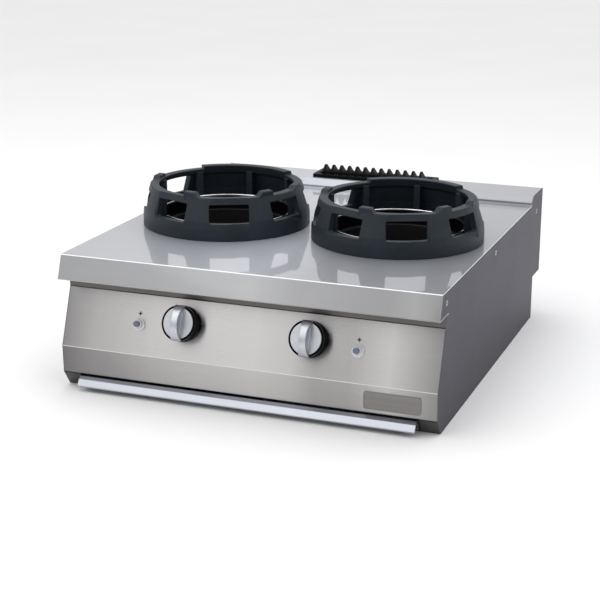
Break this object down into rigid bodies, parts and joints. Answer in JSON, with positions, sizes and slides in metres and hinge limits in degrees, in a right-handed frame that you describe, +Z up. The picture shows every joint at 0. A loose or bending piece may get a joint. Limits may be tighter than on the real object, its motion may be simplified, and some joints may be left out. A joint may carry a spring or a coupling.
{
  "type": "wok range",
  "caption": "Countertop gas wok range in folded steel, with lift-off cast wok rings, open burners in deep bowls, push-and-turn knobs, spark buttons, rear flue grille and drip tray.",
  "frame": {"origin": "middle of the footprint, on the surface that the range stands on", "axes": "+X to the cook's right, +Y to the back, +Z up"},
  "size_m": [0.8, 0.9196, 0.3808],
  "materials": {
    "worktop_steel": "deep-drawn worktop sheet, polished along X",
    "panel_steel": "satin, grain along X",
    "side_steel": "satin, grain along Y",
    "inner_steel": "bright, as rolled",
    "tray_steel": "satin, grain along X",
    "trim_steel": "polished collar",
    "ring_iron": "dark blue-grey satin enamel on cast iron",
    "burner_iron": "bare casting",
    "pipe_steel": "zinc plated tube",
    "copper_pipe": "drawn copper tube",
    "brass": "turned brass",
    "probe_steel": "heat-tinted",
    "spark_ceramic": "glazed white insulator",
    "knob_black": "gloss black",
    "knob_silver": "satin silver",
    "bezel_cream": "cream",
    "button_grey": "blue-grey",
    "igniter_black": "moulded case",
    "badge_metal": "blank plate",
    "grille_iron": "black satin enamel on cast iron",
    "recess_steel": "satin, inside the recess under the worktop's edge",
    "pan_steel": "dark primer",
    "bowl_enamel": "black enamel",
    "screw_steel": "plated"
  },
  "bodies": {
    "body": {"base_pan": "pan_steel", "burner_body_left": "burner_iron", "burner_body_right": "burner_iron", "burner_bowl_left": "bowl_enamel", "burner_bowl_right": "bowl_enamel", "burner_spider_left": "bowl_enamel", "burner_spider_right": "bowl_enamel", "collar_left": "trim_steel", "collar_right": "trim_steel", "control_panel": "panel_steel", "electrode_left": "spark_ceramic", "electrode_right": "spark_ceramic", "flue_cap": "worktop_steel", "flue_duct": "inner_steel", "front_beam": "recess_steel", "gas_manifold": "pipe_steel", "gas_pipe_left": "copper_pipe", "gas_pipe_right": "copper_pipe", "gas_supply_pipe": "pipe_steel", "igniter_bezel_left": "bezel_cream", "igniter_bezel_right": "bezel_cream", "igniter_left": "igniter_black", "igniter_right": "igniter_black", "injector_left": "brass", "injector_right": "brass", "joining_inserts": "screw_steel", "nameplate": "badge_metal", "panel_screws": "screw_steel", "pilot_left": "brass", "pilot_right": "brass", "rear_panel": "side_steel", "side_panel_left": "side_steel", "side_panel_right": "side_steel", "supply_nut": "screw_steel", "thermocouple_left": "probe_steel", "thermocouple_right": "probe_steel", "tray_runner_left": "inner_steel", "tray_runner_right": "inner_steel", "valve_body_left": "brass", "valve_body_right": "brass", "worktop": "worktop_steel"},
    "wok_ring_left": {"wok_ring_left": "ring_iron"},
    "burner_cap_left": {"burner_cap_left": "burner_iron"},
    "tap_left": {"valve_rotor_left": "brass"},
    "knob_left": {"knob_face_left": "knob_silver", "knob_skirt_left": "knob_black", "valve_spindle_left": "probe_steel"},
    "igniter_button_left": {"igniter_button_left": "button_grey"},
    "wok_ring_right": {"wok_ring_right": "ring_iron"},
    "burner_cap_right": {"burner_cap_right": "burner_iron"},
    "tap_right": {"valve_rotor_right": "brass"},
    "knob_right": {"knob_face_right": "knob_silver", "knob_skirt_right": "knob_black", "valve_spindle_right": "probe_steel"},
    "igniter_button_right": {"igniter_button_right": "button_grey"},
    "flue_grille": {"flue_grille": "grille_iron"},
    "drip_tray": {"drip_tray": "tray_steel", "tray_handle": "tray_steel"}
  },
  "joints": [
    {"name": "wok_ring_lift_left", "type": "slide", "parent": "body", "child": "wok_ring_left", "axis": [0, 0, 1], "range_m": [0, 0.15]},
    {"name": "burner_cap_lift_left", "type": "slide", "parent": "body", "child": "burner_cap_left", "axis": [0, 0, 1], "range_m": [0, 0.06]},
    {"name": "knob_turn_left", "type": "hinge", "parent": "body", "child": "tap_left", "pos_m": [-0.135, -0.41722, 0.15901], "axis": [0, -0.939, 0.344], "range_deg": [0, 180]},
    {"name": "knob_push_left", "type": "slide", "parent": "tap_left", "child": "knob_left", "axis": [0, 0.939, -0.344], "range_m": [0, 0.003], "stiffness_N_per_m": 1500, "springref_m": -0.004},
    {"name": "igniter_push_left", "type": "slide", "parent": "body", "child": "igniter_button_left", "axis": [0, 0.939, -0.344], "range_m": [0, 0.003], "stiffness_N_per_m": 800, "springref_m": -0.004},
    {"name": "wok_ring_lift_right", "type": "slide", "parent": "body", "child": "wok_ring_right", "axis": [0, 0, 1], "range_m": [0, 0.15]},
    {"name": "burner_cap_lift_right", "type": "slide", "parent": "body", "child": "burner_cap_right", "axis": [0, 0, 1], "range_m": [0, 0.06]},
    {"name": "knob_turn_right", "type": "hinge", "parent": "body", "child": "tap_right", "pos_m": [0.135, -0.41722, 0.15901], "axis": [0, -0.939, 0.344], "range_deg": [0, 180]},
    {"name": "knob_push_right", "type": "slide", "parent": "tap_right", "child": "knob_right", "axis": [0, 0.939, -0.344], "range_m": [0, 0.003], "stiffness_N_per_m": 1500, "springref_m": -0.004},
    {"name": "igniter_push_right", "type": "slide", "parent": "body", "child": "igniter_button_right", "axis": [0, 0.939, -0.344], "range_m": [0, 0.003], "stiffness_N_per_m": 800, "springref_m": -0.004},
    {"name": "drip_tray_slide", "type": "slide", "parent": "body", "child": "drip_tray", "axis": [0, -1, 0], "range_m": [0, 0.62]},
    {"name": "flue_grille_lift", "type": "slide", "parent": "body", "child": "flue_grille", "axis": [0, 0, 1], "range_m": [0, 0.08]}
  ]
}
